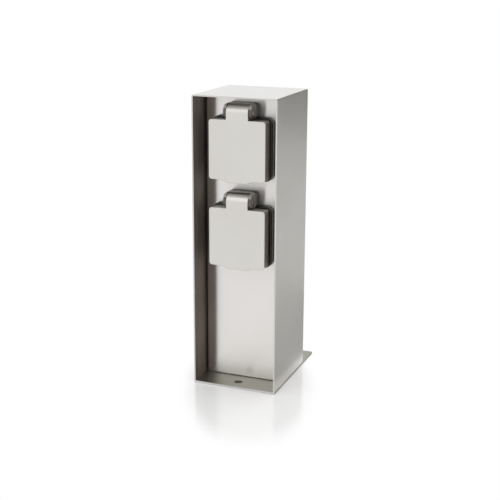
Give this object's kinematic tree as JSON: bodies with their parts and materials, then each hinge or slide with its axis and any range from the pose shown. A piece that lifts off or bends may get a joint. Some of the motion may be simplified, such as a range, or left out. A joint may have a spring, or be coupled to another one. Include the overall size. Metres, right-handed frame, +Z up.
{
  "type": "outdoor socket post",
  "caption": "Small free-standing outdoor socket post: folded steel casing with a recessed panel, hinged spring lids over earthed plug wells, and a drilled base plate.",
  "frame": {"origin": "centre of the base plate's footprint, on the floor", "axes": "+X to the right seen from the front, -Y out of the front panel, +Z up"},
  "size_m": [0.074, 0.104, 0.25],
  "materials": {
    "casing_steel": "brushed lengthways",
    "lid_steel": "satin",
    "dark_plastic": "fine matt",
    "grey_plastic": "matt",
    "terminal_plastic": "satin",
    "wire_cover": "satin",
    "rubber": "matt",
    "brass": "plain",
    "zinc_steel": "zinc plated",
    "pin_steel": "drawn",
    "spring_steel": "drawn"
  },
  "bodies": {
    "post": {"outer_casing": "casing_steel", "front_panel": "casing_steel", "panel_folds": "casing_steel", "rear_panel": "casing_steel", "base_plate": "casing_steel", "mounting_bracket": "zinc_steel", "base_screws": "zinc_steel", "press_nuts": "zinc_steel", "panel_nuts": "zinc_steel", "rear_screws": "zinc_steel", "clamp_screws": "zinc_steel", "block_screws": "zinc_steel", "cable_bush": "rubber", "cable_clamp": "dark_plastic", "terminal_block": "terminal_plastic", "terminal_sleeves": "brass", "terminal_screws": "brass", "earth_nuts": "brass", "earth_lug": "brass", "casing_earth_wire": "wire_cover", "upper_wires": "wire_cover", "lower_wires": "wire_cover", "upper_socket_body": "dark_plastic", "upper_contact_cover": "dark_plastic", "upper_socket_insert": "grey_plastic", "upper_contact_carrier": "grey_plastic", "upper_flange_gasket": "rubber", "upper_hinge_pin": "pin_steel", "upper_lid_spring": "spring_steel", "upper_shutter_spring": "spring_steel", "upper_earth_clip": "spring_steel", "upper_live_contact": "brass", "upper_neutral_contact": "brass", "upper_contact_screws": "brass", "upper_cover_screws": "zinc_steel", "upper_flange_screws": "zinc_steel", "upper_flange_nuts": "zinc_steel", "lower_socket_body": "dark_plastic", "lower_contact_cover": "dark_plastic", "lower_socket_insert": "grey_plastic", "lower_contact_carrier": "grey_plastic", "lower_flange_gasket": "rubber", "lower_hinge_pin": "pin_steel", "lower_lid_spring": "spring_steel", "lower_shutter_spring": "spring_steel", "lower_earth_clip": "spring_steel", "lower_live_contact": "brass", "lower_neutral_contact": "brass", "lower_contact_screws": "brass", "lower_cover_screws": "zinc_steel", "lower_flange_screws": "zinc_steel", "lower_flange_nuts": "zinc_steel"},
    "upper_lid": {"upper_lid_body": "dark_plastic", "upper_lid_plate": "lid_steel", "upper_lid_seal": "rubber"},
    "upper_shutter_disc": {"upper_shutter": "grey_plastic"},
    "lower_lid": {"lower_lid_body": "dark_plastic", "lower_lid_plate": "lid_steel", "lower_lid_seal": "rubber"},
    "lower_shutter_disc": {"lower_shutter": "grey_plastic"}
  },
  "joints": [
    {"name": "upper_lid_hinge", "type": "hinge", "parent": "post", "child": "upper_lid", "pos_m": [0, -0.0398, 0.2359], "axis": [-1, 0, 0], "range_deg": [0, 103], "stiffness_Nm_per_rad": 0.02, "springref_deg": -20.05, "deforming": ["upper_lid_spring"]},
    {"name": "lower_lid_hinge", "type": "hinge", "parent": "post", "child": "lower_lid", "pos_m": [0, -0.0398, 0.1623], "axis": [-1, 0, 0], "range_deg": [0, 103], "stiffness_Nm_per_rad": 0.02, "springref_deg": -20.05, "deforming": ["lower_lid_spring"]},
    {"name": "upper_shutter_turn", "type": "hinge", "parent": "post", "child": "upper_shutter_disc", "pos_m": [0, -0.016, 0.2054], "axis": [0, 1, 0], "range_deg": [0, 38], "stiffness_Nm_per_rad": 0.002, "springref_deg": -28.65, "deforming": ["upper_shutter_spring"]},
    {"name": "lower_shutter_turn", "type": "hinge", "parent": "post", "child": "lower_shutter_disc", "pos_m": [0, -0.016, 0.1318], "axis": [0, 1, 0], "range_deg": [0, 38], "stiffness_Nm_per_rad": 0.002, "springref_deg": -28.65, "deforming": ["lower_shutter_spring"]}
  ]
}
